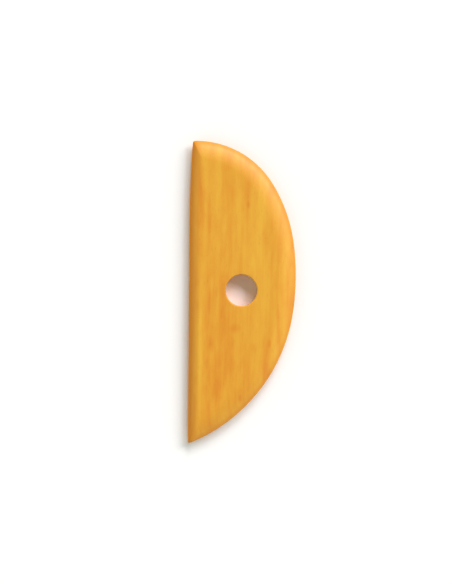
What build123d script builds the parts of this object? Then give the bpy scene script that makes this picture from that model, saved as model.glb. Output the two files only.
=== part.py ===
from build123d import *
import os
from math import asin, degrees

# Half-moon pottery rib: one flat piece of hardwood with a straight working edge, a curved
# working edge and a round hole. Millimetres. It lies on its back face, the blunt end towards
# +Y, the point towards -Y and the straight edge on the -X side.

# Outline. Heights are measured up from the sharp point, before it is blunted.
edge_length = 140.4  # straight edge, from the point to the blunt corner
rib_width = 49.5  # from the straight edge to the fullest place of the curve
fullest_height = 77.5  # how far up the curve is fullest
belly_radius = 115.0  # flattest stretch of the curve, round its fullest place
belly_half_angle = 8.0  # that stretch turns this much to each side, in degrees
shoulder_radius = 70.0  # next stretch, towards the blunt end
shoulder_angle = 24.0  # that stretch turns this much, in degrees
ease_length = 35.0  # the straight edge falls back over this length below the blunt corner
ease_depth = 1.25  # and by this much at the corner

# Thickness and bevels, which are the same on both faces
rib_thickness = 6.4
curved_bevel = 9.5  # width of the convex bevel along the curved edge
straight_bevel = 5.6  # width of the convex bevel along the straight edge
curved_nose_radius = 1.0  # rounding of the curved edge itself
straight_nose_radius = 0.9  # rounding of the straight edge itself
break_rise = 0.04  # a bevel arc tops out this far above the face, so it leaves a soft break

# Blunted corners: how much comes off the sharp corner, and the radius that it is worn to
point_blunting = 0.6
point_round_radius = 2.0
corner_blunting = 0.4
corner_round_radius = 2.0

# Hole, for a finger or a peg
hole_diameter = 14.5
hole_from_edge = 24.3  # from the straight edge to the hole's centre
hole_height = 71.3  # how far up the hole's centre is
rim_easing = 0.5  # rounding of both rims

# Making: the blank is sawn this much too large, and each cut runs this far past the blank
saw_allowance = 2.0
cutter_overrun = 2.0

half_thickness = rib_thickness / 2
cutter_reach = saw_allowance + cutter_overrun
cutter_run_out = curved_bevel + cutter_reach  # the cutter starts and stops this far past a corner

# The outline is drawn on the plane midway between the faces
point = Vector(0, 0)
blunt_corner = Vector(ease_depth, edge_length)
belly_center = (rib_width - belly_radius, fullest_height)

with BuildLine() as curved_edge:
    belly = CenterArc(belly_center, belly_radius, -belly_half_angle, 2 * belly_half_angle)
    tail = TangentArc(belly @ 0, point, tangent=(belly % 0) * -1)
    shoulder = JernArc(belly @ 1, belly % 1, shoulder_radius, shoulder_angle)
    crown = TangentArc(shoulder @ 1, blunt_corner, tangent=shoulder % 1)

with BuildLine() as straight_edge:
    flat_run = Line(point, (0, edge_length - ease_length))
    easing = TangentArc(flat_run @ 1, blunt_corner, tangent=flat_run % 1)

with BuildSketch() as sharp_outline:
    with BuildLine():
        add(curved_edge.line)
        add(straight_edge.line)
    make_face()

# The cutter's paths are the same lines, run on straight past both corners
with BuildLine() as curved_path:
    Line((tail @ 1) + (tail % 1) * cutter_run_out, tail @ 1)
    add(curved_edge.line)
    Line(crown @ 1, (crown @ 1) + (crown % 1) * cutter_run_out)

with BuildLine() as straight_path:
    Line((easing @ 1) + (easing % 1) * cutter_run_out, easing @ 1)
    add(straight_edge.line)
    Line(point, point - (flat_run % 0) * cutter_run_out)


# Wood that shaping takes off an edge, as a section square to the start of the cutter's path.
# X points from the edge into the rib and Y goes through its thickness. A bevel arc falls from
# each face, and both run tangent into the nose arc that rounds the edge itself.
def bevel_waste(path, bevel_width, nose_radius):
    heading = path % 0
    inward = Vector(0, 0, 1).cross(heading)
    top = half_thickness + break_rise
    run = bevel_width - nose_radius
    bevel_radius = (run**2 + top**2 - nose_radius**2) / (2 * (top - nose_radius))
    bevel_angle = degrees(asin(run / (bevel_radius - nose_radius)))
    outside = half_thickness + cutter_overrun
    with BuildSketch(Plane(path @ 0, x_dir=inward, z_dir=heading)) as waste:
        with BuildLine():
            front_bevel = JernArc((bevel_width, top), (-1, 0), bevel_radius, bevel_angle)
            nose = JernArc(front_bevel @ 1, front_bevel % 1, nose_radius, 180 - 2 * bevel_angle)
            back_bevel = JernArc(nose @ 1, nose % 1, bevel_radius, bevel_angle)
            Polyline(
                back_bevel @ 1,
                (bevel_width, -outside),
                (-cutter_reach, -outside),
                (-cutter_reach, outside),
                (bevel_width, outside),
                front_bevel @ 0,
            )
        make_face()
    return waste.sketch


# Crescent that blunts a corner. The two directions run along its edges, into the wood.
def corner_waste(corner, one_edge, other_edge, blunting, round_radius):
    inward = (one_edge + other_edge).normalized()
    reach = blunting + round_radius
    with BuildSketch() as waste:
        with Locations(corner):
            Circle(reach)
        with Locations(corner + inward * reach):
            Circle(round_radius, mode=Mode.SUBTRACT)
    return waste.sketch


curved_waste = bevel_waste(curved_path.wire(), curved_bevel, curved_nose_radius)
straight_waste = bevel_waste(straight_path.wire(), straight_bevel, straight_nose_radius)
point_waste = corner_waste(
    point, flat_run % 0, (tail % 1) * -1, point_blunting, point_round_radius
)
blunt_corner_waste = corner_waste(
    blunt_corner, (easing % 1) * -1, (crown % 1) * -1, corner_blunting, corner_round_radius
)

# The blank is sawn, both edges are bevelled, which leaves a mitred crest at each corner,
# then the corners are blunted and the hole is drilled and eased
with BuildPart() as shaped_rib:
    with BuildSketch():
        add(sharp_outline.sketch)
        offset(amount=saw_allowance, kind=Kind.INTERSECTION)
    extrude(amount=half_thickness, both=True)
    sweep(curved_waste, path=curved_path.wire(), mode=Mode.SUBTRACT)
    sweep(straight_waste, path=straight_path.wire(), mode=Mode.SUBTRACT)
    extrude(point_waste, amount=half_thickness, both=True, mode=Mode.SUBTRACT)
    extrude(blunt_corner_waste, amount=half_thickness, both=True, mode=Mode.SUBTRACT)
    with Locations((hole_from_edge, hole_height)):
        Hole(hole_diameter / 2)
    rims = edges(Select.LAST).filter_by(GeomType.CIRCLE)
    fillet(rims, rim_easing)

# The frame's origin is under the middle of the finished outline
with BuildSketch() as finished_outline:
    add(sharp_outline.sketch)
    add(point_waste, mode=Mode.SUBTRACT)
    add(blunt_corner_waste, mode=Mode.SUBTRACT)

middle = finished_outline.sketch.bounding_box().center()

with BuildPart() as wooden_rib:
    with Locations((-middle.X, -middle.Y, half_thickness)):
        add(shaped_rib.part)

wooden_rib.part.label = "wooden_rib"
os.makedirs("parts", exist_ok=True)
export_step(wooden_rib.part, "parts/wooden_rib.step")
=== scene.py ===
from math import acos, asin, atan2, cos, pi, radians, sin, sqrt
from typing import NamedTuple

import bmesh
import bpy
from bpy.props import FloatProperty, FloatVectorProperty, IntProperty, PointerProperty
from bpy.types import Operator, Panel, PropertyGroup
from mathutils import Matrix, Vector, noise
from mathutils.geometry import intersect_point_line


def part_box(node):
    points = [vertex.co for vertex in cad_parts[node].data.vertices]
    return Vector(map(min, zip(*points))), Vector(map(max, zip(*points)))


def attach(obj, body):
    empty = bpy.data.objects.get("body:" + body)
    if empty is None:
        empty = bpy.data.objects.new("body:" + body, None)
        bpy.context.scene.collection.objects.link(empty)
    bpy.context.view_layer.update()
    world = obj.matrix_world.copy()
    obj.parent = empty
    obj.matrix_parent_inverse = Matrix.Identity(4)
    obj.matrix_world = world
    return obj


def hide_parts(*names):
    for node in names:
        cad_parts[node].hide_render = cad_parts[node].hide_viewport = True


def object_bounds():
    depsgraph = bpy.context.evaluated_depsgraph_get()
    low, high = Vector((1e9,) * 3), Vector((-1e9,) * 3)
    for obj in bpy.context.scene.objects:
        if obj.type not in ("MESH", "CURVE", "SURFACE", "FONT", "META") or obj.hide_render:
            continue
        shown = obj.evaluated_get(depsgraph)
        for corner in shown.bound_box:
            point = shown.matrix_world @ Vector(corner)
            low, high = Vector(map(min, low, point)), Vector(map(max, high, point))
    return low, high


bl_info = {
    "name": "Wooden Pottery Rib",
    "version": (1, 0, 0),
    "blender": (4, 5, 0),
    "location": "View3D > Sidebar > Pottery Rib",
    "description": "Models an oiled half-moon pottery rib and the plain studio that it is shown in",
    "category": "Add Mesh",
}

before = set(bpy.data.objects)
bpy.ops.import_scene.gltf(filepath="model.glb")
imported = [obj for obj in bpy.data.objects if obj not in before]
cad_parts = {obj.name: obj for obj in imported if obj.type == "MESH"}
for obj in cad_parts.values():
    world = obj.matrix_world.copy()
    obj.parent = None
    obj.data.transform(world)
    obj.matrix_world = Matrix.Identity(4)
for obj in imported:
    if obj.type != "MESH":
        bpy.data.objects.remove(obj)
cad_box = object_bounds()

MM = 0.001
MERGE_GAP = MM / 1000  # vertices nearer than this are one
CAD_NODE = "wooden_rib"
BODY = "root"
PIECE = "oiled_rib"
MATERIAL_SLOT = "oiled_hardwood"


def size(name, description, millimetres):
    """A length that a user can change, in metres, with its default given in millimetres."""
    return FloatProperty(
        name=name, description=description, default=millimetres * MM, min=0.0, precision=5, unit="LENGTH"
    )


def angle(name, description, degrees):
    """An angle that a user can change, with its default given in degrees."""
    return FloatProperty(name=name, description=description, default=radians(degrees), subtype="ANGLE")


def share(name, description, default):
    """A plain number from nought to one."""
    return FloatProperty(
        name=name, description=description, default=default, min=0.0, max=1.0, subtype="FACTOR"
    )


def color(name, description, default):
    """A linear colour."""
    return FloatVectorProperty(
        name=name, description=description, default=default, size=3, min=0.0, max=1.0, subtype="COLOR"
    )


class RibSizes(PropertyGroup):
    """Sizes of the rib that its box doesn't give. Heights are measured up from the sharp point."""

    edge_length: size("Straight edge", "From the sharp point to the blunt corner", 140.4)
    fullest_height: size("Fullest height", "How far up the curved edge is fullest", 77.5)
    belly_radius: size("Belly radius", "The flattest stretch of the curve, round its fullest place", 115.0)
    belly_half_angle: angle("Belly half angle", "That stretch turns this much to each side", 8.0)
    shoulder_radius: size("Shoulder radius", "The next stretch, towards the blunt end", 70.0)
    shoulder_angle: angle("Shoulder angle", "That stretch turns this much", 24.0)
    ease_length: size("Ease length", "The straight edge falls back over this length at its top", 35.0)
    ease_depth: size("Ease depth", "The straight edge falls back by this much", 1.25)
    curved_bevel: size("Curved bevel", "Width of the convex bevel along the curved edge", 9.5)
    straight_bevel: size("Straight bevel", "Width of the convex bevel along the straight edge", 5.6)
    curved_nose: size("Curved nose", "Radius of the curved edge itself", 1.0)
    straight_nose: size("Straight nose", "Radius of the straight edge itself", 0.9)
    break_rise: size("Break rise", "How far above the face a bevel's arc would top out", 0.04)
    point_blunting: size("Point blunting", "How much is worn off the sharp point", 0.6)
    corner_blunting: size("Corner blunting", "How much is worn off the blunt corner", 0.4)
    corner_round: size("Corner round", "Radius that both corners are worn to", 2.0)
    hole_diameter: size("Hole", "Diameter of the hole", 14.5)
    hole_from_edge: size("Hole from edge", "From the straight edge to the hole's centre", 24.3)
    hole_height: size("Hole height", "How far up the hole's centre is", 71.3)
    rim_easing: size("Rim easing", "Rounding of both rims of the hole", 0.5)
    crest_softening: size("Crest softening", "Hand sanding reaches this far to each side of a mitre", 1.3)
    sanding_depth: size("Sanding depth", "The most that uneven hand sanding takes off a face", 0.05)
    sanding_patch: size("Sanding patch", "Size of the patches of uneven sanding", 11.0)
    # Painted shade in part: the edge darkening set below stands for worn wood and also for the shade on the
    # bevels. It is full along the straight edge, which faces away from the main light, and weaker along the
    # lit curved edge.
    curved_wear_and_shade: share("Curved wear", "How worn the curved edge is, beside the straight one", 0.5)
    worn_and_shaded_band: size("Worn edge", "How far in from both edges the wood is most worn", 0.8)
    curved_fade: size("Curved fade", "How far in from the curved edge the wear ends", 2.2)
    straight_fade: size("Straight fade", "How far in from the straight edge the wear ends", 4.6)
    curved_columns: IntProperty(
        name="Curved columns", description="Faces along the curved edge", default=250
    )
    straight_columns: IntProperty(
        name="Straight columns", description="Faces along the straight edge", default=170
    )


class RibFinish(PropertyGroup):
    """Colours and surface of the oiled wood."""

    honey: color("Honey", "The wood between its streaks", (0.757, 0.350, 0.028))
    amber: color("Amber", "Late wood, more orange and darker", (0.715, 0.262, 0.018))
    straw: color("Straw", "Early wood, paler and yellower", (0.795, 0.418, 0.038))
    fleck: color("Fleck", "Pores and flecks", (0.46, 0.150, 0.020))
    # Partly painted shade: this darker, more saturated edge colour stands for worn wood and also for the
    # shade that the bevels fall into.
    edge: color("Edge", "Edges that hands and clay have worn and darkened", (0.65, 0.218, 0.002))
    roughness: share("Roughness", "Roughness of the satin oil finish", 0.47)
    edge_roughness: share("Edge roughness", "How much rougher it is where clay has worn the edges", 0.35)
    fibre_relief: size("Fibre relief", "How far the oil raises the fibres", 0.012)


class RibStudio(PropertyGroup):
    """The light, the floor and the camera, which sees the rib as the photograph does."""

    light_azimuth: angle("Light azimuth", "Direction of the main light, from +X towards +Y", 57.0)
    light_elevation: angle("Light elevation", "Height of the main light above the floor", 33.0)
    light_spread: angle("Light spread", "How far apart the two lamps stand, seen from the rib", 36.0)
    light_softness: angle("Light softness", "How wide each lamp looks from the rib", 28.0)
    light_color: color("Light color", "Colour of the main light", (1.0, 0.945, 1.0))
    light_level: share("Main light", "Share of a white floor's brightness that the main light gives", 0.62)
    fill_level: share("Fill light", "Share of a white floor's brightness that the surroundings give", 0.50)
    fill_color: color("Fill color", "Colour that the walls give to shadows", (0.93, 1.0, 0.87))
    ceiling_level: share("Ceiling", "Brightness of the ceiling, where a white floor's is one", 0.05)
    bright_wall: angle("Bright wall", "Direction of the brightest wall, from +X towards +Y", -120.0)
    wall_difference: share("Wall difference", "How much brighter that wall is than an average one", 0.15)
    floor_color: color("Floor", "Plain white paper", (0.97, 0.97, 0.97))
    floor_size: size("Floor size", "Width of the floor", 8000.0)
    camera_height: size("Camera height", "From the rib's mid plane up to the camera", 1200.0)
    camera_roll: angle("Camera roll", "The camera is turned this much about its own axis", 0.47)
    pixel_size: size("Pixel size", "Size of one pixel of the photograph at the rib's mid plane", 0.4633)


PHOTO_WIDTH, PHOTO_HEIGHT = 452, 584  # in pixels
RIB_MIDDLE_PIXEL = Vector((242.4, 292.35))  # where the photograph shows the middle of the rib
SENSOR_SIZE = 36.0  # in millimetres, as a camera's own settings count it
FLOOR_GAP = 0.02 * MM  # keeps the floor from sharing a plane with the rib's back face


def facing(turned):
    """Unit vector on the drawing plane that points that way."""
    return Vector((cos(turned), sin(turned)))


def tangent_arc(start, turned, end):
    """Centre and radius of the arc through start, where it faces that way, and through end."""
    gap = start - end
    radius = gap.length_squared / (2 * gap.dot(facing(turned)))
    return start - facing(turned) * radius, radius


def circles_meet(center, radius, other_center, other_radius):
    """The place where two circles cross, on the left of the way from the first centre to the other."""
    between = other_center - center
    along = (radius**2 - other_radius**2 + between.length_squared) / (2 * between.length)
    way = between.normalized()
    return center + way * along + way.orthogonal() * sqrt(radius**2 - along**2)


class Outline:
    """The rib's outline on its mid plane, and the lines inside it.

    The curved edge is four arcs, each tangent to the next, and a place on it is given by the direction
    that the edge faces there. The straight edge is a straight run and an arc, and a place on it is given
    by its height. Both edges can be inset by a distance of their own.
    """

    def __init__(self, sizes, low, high):
        self.sizes = sizes
        point = Vector((0, 0))
        blunt = Vector((sizes.ease_depth, sizes.edge_length))
        belly = Vector((high.x - low.x - sizes.belly_radius, sizes.fullest_height))
        belly_end = sizes.belly_half_angle
        shoulder_end = belly_end + sizes.shoulder_angle
        shoulder = belly + facing(belly_end) * (sizes.belly_radius - sizes.shoulder_radius)
        tail, tail_radius = tangent_arc(belly + facing(-belly_end) * sizes.belly_radius, -belly_end, point)
        crown_start = shoulder + facing(shoulder_end) * sizes.shoulder_radius
        crown, crown_radius = tangent_arc(crown_start, shoulder_end, blunt)
        self.ease_start = sizes.edge_length - sizes.ease_length
        ease_point = Vector((0, self.ease_start))
        self.ease_center, self.ease_radius = tangent_arc(ease_point, pi, blunt)

        # The drawing is moved to its place in the frame: the straight edge and the crown meet the box
        place = Vector((low.x, high.y - crown.y - crown_radius))
        self.point = point + place
        self.blunt = blunt + place
        self.ease_start += place.y
        self.ease_center += place
        self.hole = Vector((sizes.hole_from_edge, sizes.hole_height)) + place
        self.arcs = [
            (tail + place, tail_radius, -belly_end),
            (belly + place, sizes.belly_radius, belly_end),
            (shoulder + place, sizes.shoulder_radius, shoulder_end),
            (crown + place, crown_radius, pi),
        ]

    def on_curved_edge(self, turned, inset):
        center, radius = next((arc[0], arc[1]) for arc in self.arcs if turned <= arc[2])
        return center + facing(turned) * (radius - inset)

    def insets(self, place):
        """How far in from the curved edge and from the straight edge a place on the rib is."""
        curved = straight = place.x - self.point.x
        if place.y > self.ease_start:
            straight = self.ease_radius - (place - self.ease_center).length
        start = -pi
        for center, radius, end in self.arcs:
            out = place - center
            if start < atan2(out.y, out.x) <= end:
                curved = radius - out.length
            start = end
        return curved, straight

    def on_straight_edge(self, height, inset):
        past = max(0, height - self.ease_start)
        return Vector((self.ease_center.x - sqrt((self.ease_radius - inset) ** 2 - past**2), height))

    def ends(self, curved_inset, straight_inset):
        """The two corners where the inset edges meet: at the point, and at the blunt corner."""
        tail, tail_radius, _ = self.arcs[0]
        across = self.point.x + straight_inset
        drop = sqrt((tail_radius - curved_inset) ** 2 - (across - tail.x) ** 2)
        crown, crown_radius, _ = self.arcs[-1]
        top = circles_meet(
            crown, crown_radius - curved_inset, self.ease_center, self.ease_radius - straight_inset
        )
        return Vector((across, tail.y - drop)), top

    def ring(self, curved_inset, straight_inset):
        """One closed line round the rib: along the curved edge from the point, and back by the straight."""
        bottom, top = self.ends(curved_inset, straight_inset)
        from_tail = bottom - self.arcs[0][0]
        from_crown = top - self.arcs[-1][0]
        first = atan2(from_tail.y, from_tail.x)
        last = atan2(from_crown.y, from_crown.x)
        curved = [
            self.on_curved_edge(
                first + (last - first) * closing(i / self.sizes.curved_columns), curved_inset
            )
            for i in range(self.sizes.curved_columns)
        ]
        straight = [
            self.on_straight_edge(
                top.y + (bottom.y - top.y) * closing(i / self.sizes.straight_columns), straight_inset
            )
            for i in range(self.sizes.straight_columns)
        ]
        return curved + straight


CLOSING = 0.75  # the steps at the ends are shorter than even ones by this share


def closing(along):
    """Spreads even steps from nought to one so that they close up towards both ends."""
    return along - CLOSING * sin(2 * pi * along) / (2 * pi)


class Bevel:
    """Section of a convex bevel: one arc that falls from the face, tangent to the nose arc."""

    def __init__(self, width, nose_radius, half_thickness, break_rise):
        self.width, self.nose_radius = width, nose_radius
        top = half_thickness + break_rise
        run = width - nose_radius
        self.radius = (run**2 + top**2 - nose_radius**2) / (2 * (top - nose_radius))
        self.center_height = top - self.radius
        self.angle = asin(run / (self.radius - nose_radius))
        self.break_angle = acos((half_thickness - self.center_height) / self.radius)

    def inset(self, height):
        """How far in from the edge the section reaches this height above the mid plane."""
        if height < self.nose_radius * cos(self.angle):
            return self.nose_radius - sqrt(self.nose_radius**2 - height**2)
        return self.width - sqrt(self.radius**2 - (height - self.center_height) ** 2)

    def heights(self, bevel_rows, nose_rows):
        """Heights down the section, from the break at the face to the mid plane, at even turns."""
        for i in range(bevel_rows):
            turned = self.break_angle + (self.angle - self.break_angle) * i / bevel_rows
            yield self.center_height + self.radius * cos(turned)
        for i in range(nose_rows):
            yield self.nose_radius * cos(self.angle + (pi / 2 - self.angle) * i / nose_rows)
        yield 0.0


# Rows of faces on the front half, from the middle of the hole's wall out to the edge
WALL_ROWS, RIM_ROWS, FACE_ROWS, BEVEL_ROWS, NOSE_ROWS = 4, 6, 22, 22, 9
POINT, BLUNT_CORNER = 0, 1  # their places in what Outline.ends gives
CREST_STROKES = 16  # strokes of the sandpaper over each crest
STROKE_SHARE = 0.5  # each stroke takes a vertex this far towards the middle of its neighbours
EDGE_WEAR_AND_SHADE = "edge_wear_and_shade"  # the mesh attribute that holds how worn each place is and how much painted shade it gets


def half_section_rings(sizes, outline, half_thickness):
    """Rings of points over the front half of the rib, from the hole's wall out to the edge."""
    curved = Bevel(sizes.curved_bevel, sizes.curved_nose, half_thickness, sizes.break_rise)
    straight = Bevel(sizes.straight_bevel, sizes.straight_nose, half_thickness, sizes.break_rise)
    break_line = outline.ring(curved.inset(half_thickness), straight.inset(half_thickness))
    spokes = [(place - outline.hole).normalized() for place in break_line]
    hole_radius = sizes.hole_diameter / 2
    rings = []

    def round_ring(radius, height):
        rings.append([(outline.hole + spoke * radius).to_3d() + Vector((0, 0, height)) for spoke in spokes])

    for i in range(WALL_ROWS):
        round_ring(hole_radius, (half_thickness - sizes.rim_easing) * i / WALL_ROWS)
    for i in range(RIM_ROWS):
        turned = pi / 2 * i / RIM_ROWS
        round_ring(
            hole_radius + sizes.rim_easing * (1 - cos(turned)),
            half_thickness - sizes.rim_easing * (1 - sin(turned)),
        )
    rim_radius = hole_radius + sizes.rim_easing
    for i in range(FACE_ROWS):
        out = i / FACE_ROWS
        rings.append(
            [
                (outline.hole + spoke * rim_radius).lerp(place, out).to_3d() + Vector((0, 0, half_thickness))
                for spoke, place in zip(spokes, break_line)
            ]
        )
    for height in curved.heights(BEVEL_ROWS, NOSE_ROWS):
        contour = outline.ring(curved.inset(height), straight.inset(height))
        rings.append([place.to_3d() + Vector((0, 0, height)) for place in contour])
    return rings


def wrap_sheet(rib, rings):
    """Wraps a sheet of quads over the rings, and closes its seam."""
    columns, rows = len(rings[0]), len(rings) - 1
    sheet = bmesh.ops.create_grid(rib, x_segments=columns, y_segments=rows, size=0.5)["verts"]
    for vertex in sheet:
        column = round((vertex.co.x + 0.5) * columns) % columns
        row = round((vertex.co.y + 0.5) * rows)
        vertex.co = rings[row][column]
    bmesh.ops.remove_doubles(rib, verts=rib.verts, dist=MERGE_GAP)


def wear_corner(rib, outline, corner_index, blunting, round_radius):
    """Takes one corner back to a round that stands this far behind it."""
    corner = outline.ends(0, 0)[corner_index]
    inward = (outline.ends(round_radius, round_radius)[corner_index] - corner).normalized()
    reach = blunting + round_radius
    middle = corner + inward * reach
    for vertex in rib.verts:
        place = vertex.co.to_2d()
        out = place - middle
        if (place - corner).length < reach and out.length > round_radius:
            vertex.co.xy = middle + out.normalized() * round_radius


def soften_crests(rib, sizes, outline):
    """Sands the crests where the bevels of the two edges meet in a mitre."""
    inner_ends = outline.ends(sizes.curved_bevel, sizes.straight_bevel)
    for corner, inner_end in zip(outline.ends(0, 0), inner_ends):
        crest = []
        for vertex in rib.verts:
            place = vertex.co.to_2d()
            nearest, along = intersect_point_line(place, corner, inner_end)
            if 0 <= along <= 1 and (place - nearest).length < sizes.crest_softening:
                crest.append(vertex)
        for _ in range(CREST_STROKES):
            bmesh.ops.smooth_vert(
                rib, verts=crest, factor=STROKE_SHARE, use_axis_x=True, use_axis_y=True, use_axis_z=True
            )


def sand_by_hand(rib, sizes):
    """Takes a little off everywhere, in soft patches, as sanding by hand does."""
    rib.normal_update()
    for vertex in rib.verts:
        patch = 0.5 + 0.5 * noise.noise(vertex.co / sizes.sanding_patch)
        vertex.co -= vertex.normal * (sizes.sanding_depth * patch)


def mark_wear_and_shade(rib, sizes, outline):
    """Marks how much each place is darkened, from nought on the faces up to one: partly wear from hands and
    clay, partly painted shade, full along the straight edge and less along the curved one.
    """
    wear_and_shade = rib.verts.layers.float.new(EDGE_WEAR_AND_SHADE)
    for vertex in rib.verts:
        insets = outline.insets(vertex.co.to_2d())
        past_curved, past_straight = (max(0, inset - sizes.worn_and_shaded_band) for inset in insets)
        on_curved = 1 - past_curved / (sizes.curved_fade - sizes.worn_and_shaded_band)
        on_straight = 1 - past_straight / (sizes.straight_fade - sizes.worn_and_shaded_band)
        vertex[wear_and_shade] = max(0, on_curved * sizes.curved_wear_and_shade, on_straight)


def carve_rib(sizes):
    """The rib's mesh: both faces, both bevelled edges, and the hole."""
    low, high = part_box(CAD_NODE)
    half_thickness = (high.z - low.z) / 2
    outline = Outline(sizes, low, high)
    rib = bmesh.new()
    wrap_sheet(rib, half_section_rings(sizes, outline, half_thickness))
    wear_corner(rib, outline, POINT, sizes.point_blunting, sizes.corner_round)
    wear_corner(rib, outline, BLUNT_CORNER, sizes.corner_blunting, sizes.corner_round)
    half = rib.verts[:] + rib.edges[:] + rib.faces[:]
    bmesh.ops.mirror(rib, geom=half, merge_dist=MERGE_GAP, axis="Z")
    bmesh.ops.remove_doubles(rib, verts=rib.verts, dist=MERGE_GAP)
    bmesh.ops.recalc_face_normals(rib, faces=rib.faces)
    soften_crests(rib, sizes, outline)
    sand_by_hand(rib, sizes)
    mark_wear_and_shade(rib, sizes, outline)
    bmesh.ops.translate(rib, verts=rib.verts, vec=(0, 0, low.z + half_thickness))
    return rib


def add_node(tree, kind, inputs=None, **settings):
    """Adds a node, with its settings, and with a value or a link for each input that is named."""
    node = tree.nodes.new(kind)
    for name, value in settings.items():
        setattr(node, name, value)
    for name, value in (inputs or {}).items():
        if isinstance(value, bpy.types.NodeSocket):
            tree.links.new(value, node.inputs[name])
        else:
            node.inputs[name].default_value = value
    return node


class Streaks(NamedTuple):
    """Noise drawn out along the grain, about this wide, deep and long in millimetres."""

    width: float
    depth: float
    length: float
    seed: float
    detail: float = 1.0
    roughness: float = 0.5


class WoodNodes:
    """Builds the wood's patterns from places in the piece, in millimetres."""

    def __init__(self, tree):
        self.tree = tree
        here = add_node(tree, "ShaderNodeTexCoord").outputs["Object"]
        scaled = add_node(tree, "ShaderNodeVectorMath", {0: here, "Scale": 1 / MM}, operation="SCALE")
        self.here = scaled.outputs["Vector"]

    def vector(self, operation, first, second):
        return add_node(
            self.tree, "ShaderNodeVectorMath", {0: first, 1: second}, operation=operation
        ).outputs["Vector"]

    def length(self, vector):
        return add_node(self.tree, "ShaderNodeVectorMath", {0: vector}, operation="LENGTH").outputs["Value"]

    def math(self, operation, first, second=0.0, third=0.0):
        values = {0: first, 1: second, 2: third}
        return add_node(self.tree, "ShaderNodeMath", values, operation=operation).outputs[0]

    def spread(self, value, low, high, new_low=0.0, new_high=1.0):
        """Stretches a range to a new one, with soft ends."""
        ranges = {"Value": value, "From Min": low, "From Max": high, "To Min": new_low, "To Max": new_high}
        node = add_node(self.tree, "ShaderNodeMapRange", ranges, interpolation_type="SMOOTHSTEP")
        return node.outputs["Result"]

    def streaky(self, place, streaks):
        """Noise from nought to one, drawn out along the grain."""
        drawn = self.vector("MULTIPLY", place, (1 / streaks.width, 1 / streaks.length, 1 / streaks.depth))
        moved = self.vector("ADD", drawn, (streaks.seed, streaks.seed, streaks.seed))
        inputs = {"Vector": moved, "Scale": 1.0, "Detail": streaks.detail, "Roughness": streaks.roughness}
        return add_node(self.tree, "ShaderNodeTexNoise", inputs).outputs["Fac"]

    def mark(self, across, up, width, length):
        """One soft lens-shaped mark along the grain: one at its middle, nought at its rim."""
        away = self.vector("SUBTRACT", self.here, (across, up, 0))
        shrunk = self.vector("MULTIPLY", away, (2 / width, 2 / length, 0))
        return self.spread(self.length(shrunk), 1.0, 0.0)

    def mix(self, amount, first, second, blend="MIX"):
        # The colour sockets of a Mix node are its inputs 6 and 7, and its output 2
        colors = {0: amount, 6: first, 7: second}
        node = add_node(self.tree, "ShaderNodeMix", colors, data_type="RGBA", blend_type=blend)
        return node.outputs[2]


RINGS = Streaks(3.0, 40.0, 60.0, seed=7.7, detail=2.0)
RIPPLES = Streaks(2.4, 3.0, 9.0, seed=1.3)
BANDS = Streaks(14.0, 40.0, 60.0, seed=5.2)
FIBRES = Streaks(0.30, 0.30, 11.0, seed=9.4, detail=2.0, roughness=0.6)
PORES = Streaks(0.26, 0.26, 2.6, seed=2.9)
WANDER = Streaks(40.0, 40.0, 80.0, seed=3.1)

# How far from a half each noise has to be for its full effect, and how much warmth that effect is
RING_WARMTH = (0.25, 0.30)
RIPPLE_WARMTH = (0.25, 0.13)
BAND_WARMTH = (0.20, 0.14)
FIBRE_WARMTH = (0.30, 0.08)

GRAIN_WANDER = 4.0  # the grain wanders this far to each side, in millimetres
GRAIN_TILT = radians(32)  # the growth rings lean this much from upright, seen on the end grain
PORE_RIM, PORE_FLOOR = 0.62, 0.76  # the noise at a pore's rim and at its deepest
PORE_DARKNESS = 0.22
PORE_DEPTH = 0.8  # the relief of a pore, where that of a fibre is one
FIBRE_ROUGHNESS = 0.10  # the roughness differs this much from fibre to fibre
END_GRAIN_START = 0.55  # end grain shows where more than this share of the normal lies along the rib
END_GRAIN_DARKNESS = 0.4
WOOD_IOR = 1.5

# Figure of this rib's wood: how far across and up from the middle of the rib each mark lies, its width
# and length in millimetres, and how much more amber it is, or, below nought, more straw
FIGURE_MARKS = [
    (-15.8, 34.0, 3.4, 30.0, 1.00),
    (-15.2, -5.5, 3.4, 18.0, 0.80),
    (-14.6, -24.0, 5.5, 10.0, 0.60),
    (-11.4, -41.0, 5.5, 38.0, 0.60),
    (-19.6, -29.0, 3.2, 92.0, -1.00),
    (-19.0, 6.0, 3.0, 40.0, -0.40),
    (-20.0, 44.0, 7.0, 46.0, 0.50),
    (-11.4, 22.0, 3.4, 22.0, -0.40),
    (-3.2, -16.5, 7.5, 7.0, 0.90),
    (2.4, 40.6, 2.6, 4.6, 1.00),
    (4.8, 14.0, 4.0, 12.0, -0.55),
    (10.6, 24.5, 6.0, 22.0, 0.75),
    (12.6, -23.5, 3.0, 6.0, 0.80),
    (10.4, -38.0, 4.0, 20.0, 0.55),
    (5.5, -25.5, 7.0, 7.0, 0.45),
    (-0.8, -49.0, 2.6, 4.6, 0.90),
    (19.5, -20.0, 4.5, 16.0, -0.40),
]


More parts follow.
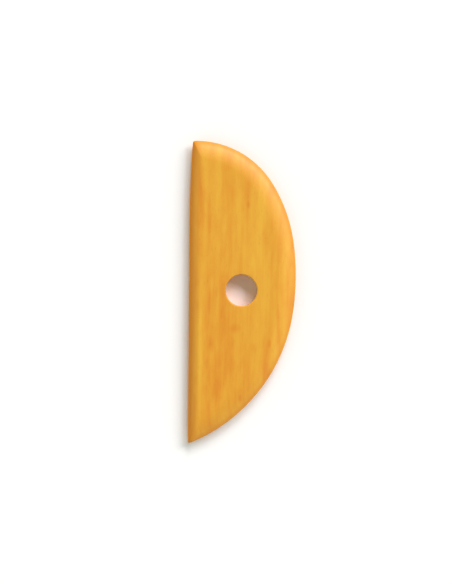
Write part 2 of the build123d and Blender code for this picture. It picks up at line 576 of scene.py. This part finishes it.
def oiled_wood(finish):
    """Straight-grained hardwood, sanded and oiled: rings, fibres, pores, and darker end grain."""
    material = bpy.data.materials.new(MATERIAL_SLOT)
    material.use_nodes = True
    tree = material.node_tree
    tree.nodes.clear()
    wood = WoodNodes(tree)

    # The grain wanders a little to the side on its way along the rib
    wander = wood.streaky(wood.here, WANDER)
    aside = wood.math("MULTIPLY_ADD", wander, 2 * GRAIN_WANDER, -GRAIN_WANDER)
    sideways = add_node(tree, "ShaderNodeCombineXYZ", {"X": aside}).outputs["Vector"]
    turned = {"Vector": wood.vector("ADD", wood.here, sideways), "Axis": (0, 1, 0), "Angle": GRAIN_TILT}
    grain = add_node(tree, "ShaderNodeVectorRotate", turned).outputs["Vector"]

    # Warmth is nought for straw, a half for honey and one for amber
    fibres = wood.streaky(grain, FIBRES)
    patterns = (
        (wood.streaky(grain, RINGS), RING_WARMTH),
        (wood.streaky(grain, RIPPLES), RIPPLE_WARMTH),
        (wood.streaky(grain, BANDS), BAND_WARMTH),
        (fibres, FIBRE_WARMTH),
    )
    warmth = 0.5
    for pattern, (reach, effect) in patterns:
        warmer = wood.spread(pattern, 0.5 - reach, 0.5 + reach, -effect, effect)
        warmth = wood.math("ADD", warmth, warmer)
    for across, up, width, length, more_amber in FIGURE_MARKS:
        mark = wood.mark(across, up, width, length)
        warmth = wood.math("MULTIPLY_ADD", mark, more_amber / 2, warmth)
    ramp = add_node(tree, "ShaderNodeValToRGB", {"Fac": warmth})
    stops = ramp.color_ramp.elements
    stops.new(0.5)
    for stop, tone in zip(stops, (finish.straw, finish.honey, finish.amber)):
        stop.color = (*tone, 1.0)

    pores = wood.spread(wood.streaky(grain, PORES), PORE_RIM, PORE_FLOOR)
    pore_stain = wood.math("MULTIPLY", pores, PORE_DARKNESS)
    color = wood.mix(pore_stain, ramp.outputs["Color"], (*finish.fleck, 1.0))

    # Edges are darker, partly from wear and partly as painted shade on the bevels, strongest along the
    # straight edge away from the main light, and fade back to the faces' own colour
    wear_and_shade = add_node(tree, "ShaderNodeAttribute", attribute_name=EDGE_WEAR_AND_SHADE).outputs["Fac"]
    color = wood.mix(wear_and_shade, color, (*finish.edge, 1.0))

    # Across the grain the wood drinks more oil, so it is darker where it faces along the rib
    normal = add_node(tree, "ShaderNodeTexCoord").outputs["Normal"]
    along = add_node(tree, "ShaderNodeSeparateXYZ", {"Vector": normal}).outputs["Y"]
    end_grain = wood.spread(wood.math("ABSOLUTE", along), END_GRAIN_START, 1.0, 0.0, END_GRAIN_DARKNESS)
    color = wood.mix(end_grain, color, (*finish.amber, 1.0), blend="MULTIPLY")

    # The oil raises the fibres and leaves the pores open
    height = wood.math("SUBTRACT", fibres, wood.math("MULTIPLY", pores, PORE_DEPTH))
    bump = add_node(
        tree, "ShaderNodeBump", {"Height": height, "Distance": finish.fibre_relief, "Strength": 1.0}
    )

    # The roughness differs a little from fibre to fibre, and worn edges are rougher
    smoothest = finish.roughness - FIBRE_ROUGHNESS / 2
    roughness = wood.math("MULTIPLY_ADD", fibres, FIBRE_ROUGHNESS, smoothest)
    roughness = wood.math("MULTIPLY_ADD", wear_and_shade, finish.edge_roughness, roughness)
    surface = add_node(
        tree,
        "ShaderNodeBsdfPrincipled",
        {"Base Color": color, "Roughness": roughness, "IOR": WOOD_IOR, "Normal": bump.outputs["Normal"]},
    )
    add_node(tree, "ShaderNodeOutputMaterial", {"Surface": surface.outputs["BSDF"]})
    return material


class RIB_OT_carve(Operator):
    """Model the wooden rib and give it its oiled finish"""

    bl_idname = "rib.carve"
    bl_label = "Carve the Rib"
    bl_options = {"REGISTER", "UNDO"}

    def execute(self, context):
        rib = carve_rib(context.scene.rib_sizes)
        mesh = bpy.data.meshes.new(PIECE)
        rib.to_mesh(mesh)
        rib.free()
        mesh.shade_smooth()
        mesh.materials.append(oiled_wood(context.scene.rib_finish))
        piece = bpy.data.objects.new(PIECE, mesh)
        context.scene.collection.objects.link(piece)
        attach(piece, BODY)
        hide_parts(CAD_NODE)
        return {"FINISHED"}


def lay_floor(studio, collection):
    """A plain white floor just under the rib."""
    material = bpy.data.materials.new("white_paper")
    material.use_nodes = True
    tree = material.node_tree
    tree.nodes.clear()
    paper = add_node(tree, "ShaderNodeBsdfDiffuse", {"Color": (*studio.floor_color, 1.0)})
    add_node(tree, "ShaderNodeOutputMaterial", {"Surface": paper.outputs["BSDF"]})

    plane = bmesh.new()
    bmesh.ops.create_grid(plane, x_segments=1, y_segments=1, size=studio.floor_size / 2)
    bmesh.ops.translate(plane, verts=plane.verts, vec=(0, 0, cad_box[0].z - FLOOR_GAP))
    mesh = bpy.data.meshes.new("floor")
    plane.to_mesh(mesh)
    plane.free()
    mesh.materials.append(material)
    floor = bpy.data.objects.new("floor", mesh)
    collection.objects.link(floor)


def hang_light(studio, collection):
    """Two soft lamps side by side, which give a level floor their share of the brightness."""
    for side in (-0.5, 0.5):
        lamp = bpy.data.lights.new("softbox", "SUN")
        lamp.color = studio.light_color
        lamp.angle = studio.light_softness
        lamp.energy = studio.light_level / 2 * pi / sin(studio.light_elevation)
        softbox = bpy.data.objects.new("softbox", lamp)
        collection.objects.link(softbox)
        towards = facing(studio.light_azimuth + studio.light_spread * side) * cos(studio.light_elevation)
        softbox.location = towards.to_3d() + Vector((0, 0, sin(studio.light_elevation)))
        softbox.rotation_euler = softbox.location.to_track_quat("Z", "Y").to_euler()


def light_surroundings(studio, scene):
    """Light from pale walls all round, a little brighter on one side, that darkens up to the ceiling."""
    world = bpy.data.worlds.new("studio_walls")
    world.use_nodes = True
    tree = world.node_tree
    tree.nodes.clear()
    direction = add_node(tree, "ShaderNodeTexCoord").outputs["Generated"]
    # A level floor is lit by two thirds of the ceiling's brightness and one third of the horizon's
    horizon = 3 * studio.fill_level - 2 * studio.ceiling_level
    slope = (facing(studio.bright_wall) * studio.wall_difference).to_3d()
    slope.z = studio.ceiling_level - horizon
    rise = add_node(tree, "ShaderNodeVectorMath", {0: direction, 1: slope}, operation="DOT_PRODUCT")
    level = add_node(tree, "ShaderNodeMath", {0: rise.outputs["Value"], 1: horizon}).outputs[0]
    level = add_node(tree, "ShaderNodeMath", {0: level, 1: 0.0}, operation="MAXIMUM").outputs[0]
    walls = add_node(tree, "ShaderNodeBackground", {"Color": (*studio.fill_color, 1.0), "Strength": level})
    add_node(tree, "ShaderNodeOutputWorld", {"Surface": walls.outputs["Background"]})
    scene.world = world


def set_camera(studio, scene):
    """A long lens straight above, framed so that the rib shows where the photograph has it."""
    lens = bpy.data.cameras.new("camera")
    lens.sensor_width = SENSOR_SIZE
    lens.lens = SENSOR_SIZE * studio.camera_height / (PHOTO_HEIGHT * studio.pixel_size)
    camera = bpy.data.objects.new("camera", lens)
    scene.collection.objects.link(camera)
    off_center = (Vector((PHOTO_WIDTH / 2, PHOTO_HEIGHT / 2)) - RIB_MIDDLE_PIXEL) * studio.pixel_size
    off_center.y = -off_center.y
    off_center.rotate(Matrix.Rotation(studio.camera_roll, 2))
    mid_height = (cad_box[0].z + cad_box[1].z) / 2
    camera.location = (off_center.x, off_center.y, mid_height + studio.camera_height)
    camera.rotation_euler = (0, 0, studio.camera_roll)
    scene.camera = camera


class RIB_OT_set_stage(Operator):
    """Lay the floor, hang the light and set up the camera"""

    bl_idname = "rib.set_stage"
    bl_label = "Set the Stage"
    bl_options = {"REGISTER", "UNDO"}

    def execute(self, context):
        studio, scene = context.scene.rib_studio, context.scene
        lay_floor(studio, scene.collection)
        hang_light(studio, scene.collection)
        light_surroundings(studio, scene)
        set_camera(studio, scene)
        scene.view_settings.view_transform = "Standard"
        return {"FINISHED"}


class RIB_PT_panel(Panel):
    """Sizes, finish and studio of the pottery rib, and the steps that make them"""

    bl_idname = "RIB_PT_panel"
    bl_label = "Pottery Rib"
    bl_space_type = "VIEW_3D"
    bl_region_type = "UI"
    bl_category = "Pottery Rib"

    def draw(self, context):
        scene = context.scene
        steps = (
            (scene.rib_sizes, None),
            (scene.rib_finish, RIB_OT_carve),
            (scene.rib_studio, RIB_OT_set_stage),
        )
        for values, step in steps:
            box = self.layout.box()
            for name in values.bl_rna.properties.keys():
                if name not in ("name", "rna_type"):
                    box.prop(values, name)
            if step:
                box.operator(step.bl_idname)


CLASSES = (RibSizes, RibFinish, RibStudio, RIB_OT_carve, RIB_OT_set_stage, RIB_PT_panel)
GROUPS = {"rib_sizes": RibSizes, "rib_finish": RibFinish, "rib_studio": RibStudio}


def register():
    for made in CLASSES:
        bpy.utils.register_class(made)
    for name, group in GROUPS.items():
        setattr(bpy.types.Scene, name, PointerProperty(type=group))


def unregister():
    for name in GROUPS:
        delattr(bpy.types.Scene, name)
    for made in reversed(CLASSES):
        bpy.utils.unregister_class(made)


def main():
    register()
    bpy.ops.rib.carve()
    bpy.ops.rib.set_stage()


if __name__ == "__main__":
    main()
